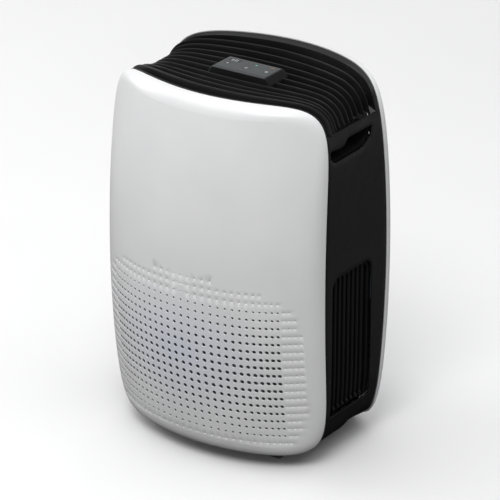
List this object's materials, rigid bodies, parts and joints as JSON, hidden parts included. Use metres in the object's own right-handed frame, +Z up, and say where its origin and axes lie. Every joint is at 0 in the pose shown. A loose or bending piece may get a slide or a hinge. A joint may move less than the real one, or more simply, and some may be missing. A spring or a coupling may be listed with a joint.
{
  "type": "dehumidifier",
  "caption": "Free-standing compressor dehumidifier with bowed white front and back shells, ribbed black outlet on top, side vents, pull-out filter and water tank, on casters.",
  "frame": {"origin": "middle of the bounding box at the floor", "axes": "+Z up, -Y out of the perforated front, +X to the viewer's right when facing the front"},
  "size_m": [0.3618, 0.3434, 0.5521],
  "materials": {
    "white_gloss": "glossy",
    "black_satin": "satin",
    "grey_plate": "satin",
    "button_grey": "satin",
    "smoked_lens": "polished",
    "board_green": "solder mask",
    "filter_grey": "woven mesh",
    "tank_blue": "smoke blue translucent look",
    "fin_aluminium": "thin stamped fins",
    "copper": "drawn copper pipe",
    "inner_grey": "moulded",
    "motor_steel": "brushed",
    "compressor_black": "painted black",
    "rubber_black": "matte",
    "float_white": "foam",
    "screw_steel": "plated"
  },
  "bodies": {
    "housing": {"front_panel": "white_gloss", "back_shell": "white_gloss", "front_frame": "black_satin", "side_panel_right": "black_satin", "side_panel_left": "black_satin", "handle_cup_right": "black_satin", "handle_cup_left": "black_satin", "side_grille_right": "black_satin", "side_grille_left": "black_satin", "top_cover": "black_satin", "base_skirt": "black_satin", "control_housing": "black_satin", "base_pan": "inner_grey", "inner_deck": "inner_grey", "drip_tray": "inner_grey", "fan_scroll": "inner_grey", "run_capacitor": "inner_grey", "level_switch": "inner_grey", "humidity_sensor": "inner_grey", "control_plate": "grey_plate", "display_lens": "smoked_lens", "status_led": "smoked_lens", "control_board": "board_green", "evaporator": "fin_aluminium", "condenser": "fin_aluminium", "discharge_pipe": "copper", "suction_pipe": "copper", "fan_motor": "motor_steel", "compressor": "compressor_black", "accumulator": "compressor_black", "cord_gland": "rubber_black", "drain_plug": "rubber_black", "compressor_grommet_1": "rubber_black", "compressor_grommet_2": "rubber_black", "compressor_grommet_3": "rubber_black", "back_screw_1": "screw_steel", "back_screw_2": "screw_steel", "back_screw_3": "screw_steel", "back_screw_4": "screw_steel"},
    "fan": {"fan_impeller": "inner_grey"},
    "timer_key": {"timer_button": "button_grey"},
    "power_key": {"power_button": "button_grey"},
    "mode_key": {"mode_button": "button_grey"},
    "tank": {"water_tank": "tank_blue", "tank_lid": "inner_grey"},
    "tank_bail": {"tank_handle": "black_satin"},
    "level_float": {"tank_float": "float_white"},
    "filter": {"rear_grille": "black_satin", "filter_mesh": "filter_grey"},
    "caster_1": {"caster_fork_1": "black_satin"},
    "wheel_1": {"caster_wheel_1": "rubber_black"},
    "caster_2": {"caster_fork_2": "black_satin"},
    "wheel_2": {"caster_wheel_2": "rubber_black"},
    "caster_3": {"caster_fork_3": "black_satin"},
    "wheel_3": {"caster_wheel_3": "rubber_black"},
    "caster_4": {"caster_fork_4": "black_satin"},
    "wheel_4": {"caster_wheel_4": "rubber_black"}
  },
  "joints": [
    {"name": "fan_spin", "type": "hinge", "parent": "housing", "child": "fan", "pos_m": [0, 0.00332, 0.372], "axis": [0, 1, 0], "continuous": true},
    {"name": "timer_press", "type": "slide", "parent": "housing", "child": "timer_key", "axis": [0, 0, -1], "range_m": [0, 0.0008], "stiffness_N_per_m": 400, "springref_m": -0.001},
    {"name": "power_press", "type": "slide", "parent": "housing", "child": "power_key", "axis": [0, 0, -1], "range_m": [0, 0.0008], "stiffness_N_per_m": 400, "springref_m": -0.001},
    {"name": "mode_press", "type": "slide", "parent": "housing", "child": "mode_key", "axis": [0, 0, -1], "range_m": [0, 0.0008], "stiffness_N_per_m": 400, "springref_m": -0.001},
    {"name": "tank_pull", "type": "slide", "parent": "housing", "child": "tank", "axis": [0, 1, 0], "range_m": [0, 0.2]},
    {"name": "bail_swing", "type": "hinge", "parent": "tank", "child": "tank_bail", "pos_m": [0, 0.16818, 0.205], "axis": [1, 0, 0], "range_deg": [0, 90]},
    {"name": "float_rise", "type": "hinge", "parent": "tank", "child": "level_float", "pos_m": [-0.06, 0.05033, 0.2225], "axis": [1, 0, 0], "range_deg": [0, 25]},
    {"name": "filter_pull", "type": "slide", "parent": "housing", "child": "filter", "axis": [0, 1, 0], "range_m": [0, 0.1]},
    {"name": "caster_1_swivel", "type": "hinge", "parent": "housing", "child": "caster_1", "pos_m": [0.101, -0.07218, 0.0362], "axis": [0, 0, 1], "continuous": true},
    {"name": "wheel_1_roll", "type": "hinge", "parent": "caster_1", "child": "wheel_1", "pos_m": [0.101, -0.07817, 0.0135], "axis": [1, 0, 0], "continuous": true},
    {"name": "caster_2_swivel", "type": "hinge", "parent": "housing", "child": "caster_2", "pos_m": [-0.101, -0.07218, 0.0362], "axis": [0, 0, 1], "continuous": true},
    {"name": "wheel_2_roll", "type": "hinge", "parent": "caster_2", "child": "wheel_2", "pos_m": [-0.101, -0.07817, 0.0135], "axis": [1, 0, 0], "continuous": true},
    {"name": "caster_3_swivel", "type": "hinge", "parent": "housing", "child": "caster_3", "pos_m": [0.11, 0.05633, 0.0362], "axis": [0, 0, 1], "continuous": true},
    {"name": "wheel_3_roll", "type": "hinge", "parent": "caster_3", "child": "wheel_3", "pos_m": [0.11, 0.05033, 0.0135], "axis": [1, 0, 0], "continuous": true},
    {"name": "caster_4_swivel", "type": "hinge", "parent": "housing", "child": "caster_4", "pos_m": [-0.11, 0.05633, 0.0362], "axis": [0, 0, 1], "continuous": true},
    {"name": "wheel_4_roll", "type": "hinge", "parent": "caster_4", "child": "wheel_4", "pos_m": [-0.11, 0.05033, 0.0135], "axis": [1, 0, 0], "continuous": true}
  ]
}
